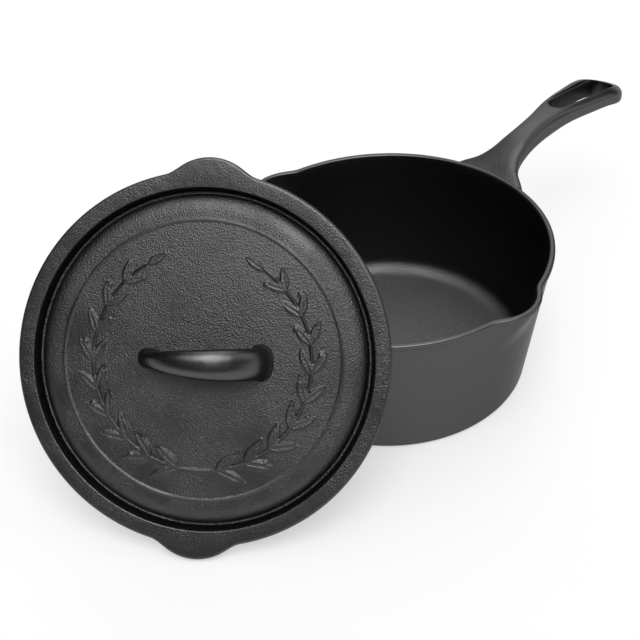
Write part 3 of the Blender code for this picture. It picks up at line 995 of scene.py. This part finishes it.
def make_ground():
    """White ground. Its own glow, for what the eye and a reflection see, keeps the shadow faint."""
    mesh = bpy.data.meshes.new("floor")
    corners = [(x * GROUND_REACH, y * GROUND_REACH, 0)
               for x, y in ((-1, -1), (1, -1), (1, 1), (-1, 1))]
    mesh.from_pydata(corners, [], [(0, 1, 2, 3)])
    floor = bpy.data.objects.new("floor", mesh)
    bpy.context.scene.collection.objects.link(floor)
    material = bpy.data.materials.new("floor_white")
    material.use_nodes = True
    material.node_tree.nodes.clear()
    links = material.node_tree.links
    output = add_node(material, "ShaderNodeOutputMaterial")
    mix = add_node(material, "ShaderNodeMixShader")
    diffuse = add_node(material, "ShaderNodeBsdfDiffuse", Color=(GROUND_WHITE, GROUND_WHITE, GROUND_WHITE, 1))
    glow = add_node(material, "ShaderNodeEmission", Color=(1, 1, 1, 1), Strength=1.0)
    path = add_node(material, "ShaderNodeLightPath")
    seen = path.outputs["Is Camera Ray"]
    for ray in ("Is Glossy Ray", "Is Transmission Ray"):
        seen = math_node(material, "MAXIMUM", seen, path.outputs[ray])
    links.new(math_node(material, "MULTIPLY", seen, GROUND_GLOW), mix.inputs[0])
    links.new(diffuse.outputs[0], mix.inputs[1])
    links.new(glow.outputs[0], mix.inputs[2])
    links.new(mix.outputs[0], output.inputs[0])
    mesh.materials.append(material)


def make_camera():
    data = bpy.data.cameras.new("camera")
    data.sensor_width = SENSOR_WIDTH
    data.lens = FOCAL_PIXELS / PHOTO_WIDTH * SENSOR_WIDTH
    data.clip_start = CAMERA_CLIP
    camera = bpy.data.objects.new("camera", data)
    axes = Matrix((CAMERA_RIGHT, CAMERA_UP, CAMERA_BACK)).transposed().to_4x4()
    camera.matrix_world = Matrix.Translation(CAMERA_PLACE) @ axes
    bpy.context.scene.collection.objects.link(camera)
    bpy.context.scene.camera = camera


def lamp_share(world, direction, turn, height, inner, outer, strength):
    """Light of one soft round lamp in the sky, fading to nothing at its edge."""
    azimuth = math.radians(CAMERA_DIRECTION + turn)
    level = math.cos(math.radians(height))
    dot = add_node(world, "ShaderNodeVectorMath")
    dot.operation = "DOT_PRODUCT"
    dot.inputs[1].default_value = (level * math.cos(azimuth), level * math.sin(azimuth),
                                   math.sin(math.radians(height)))
    world.node_tree.links.new(direction, dot.inputs[0])
    share = add_node(world, "ShaderNodeMapRange", From_Min=math.cos(math.radians(outer)),
                     From_Max=math.cos(math.radians(inner)), To_Max=strength)
    share.interpolation_type = "SMOOTHSTEP"
    world.node_tree.links.new(dot.outputs["Value"], share.inputs["Value"])
    return share.outputs["Result"]


def make_light():
    """A dim studio with a white backdrop along the horizon and a few large soft lamps."""
    world = bpy.data.worlds.new("studio")
    bpy.context.scene.world = world
    world.use_nodes = True
    links = world.node_tree.links
    shade = world.node_tree.nodes["Background"]
    shade.inputs["Color"].default_value = (1, 1, 1, 1)
    direction = add_node(world, "ShaderNodeTexCoord").outputs["Generated"]
    height = add_node(world, "ShaderNodeSeparateXYZ")
    links.new(direction, height.inputs["Vector"])
    backdrop = add_node(world, "ShaderNodeMapRange", From_Min=math.sin(math.radians(BACKDROP_END)),
                        From_Max=math.sin(math.radians(BACKDROP_TOP)), To_Min=ROOM_LIGHT)
    backdrop.interpolation_type = "SMOOTHSTEP"
    links.new(height.outputs["Z"], backdrop.inputs["Value"])
    total = backdrop.outputs["Result"]
    for lamp in LAMPS:
        total = math_node(world, "ADD", total, lamp_share(world, direction, *lamp))
    links.new(total, shade.inputs["Strength"])


make_camera()
make_ground()
make_light()
pan = make_pan()
lid = make_lid()
pan.data.materials.append(iron_material("pan_iron"))
lid.data.materials.append(iron_material("lid_iron"))
for piece, body, slot in ((pan, "pot", "pot_iron"), (lid, "lid", "lid_iron")):
    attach(piece, body)
    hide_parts(body)

bpy.context.scene.view_settings.view_transform = "Standard"
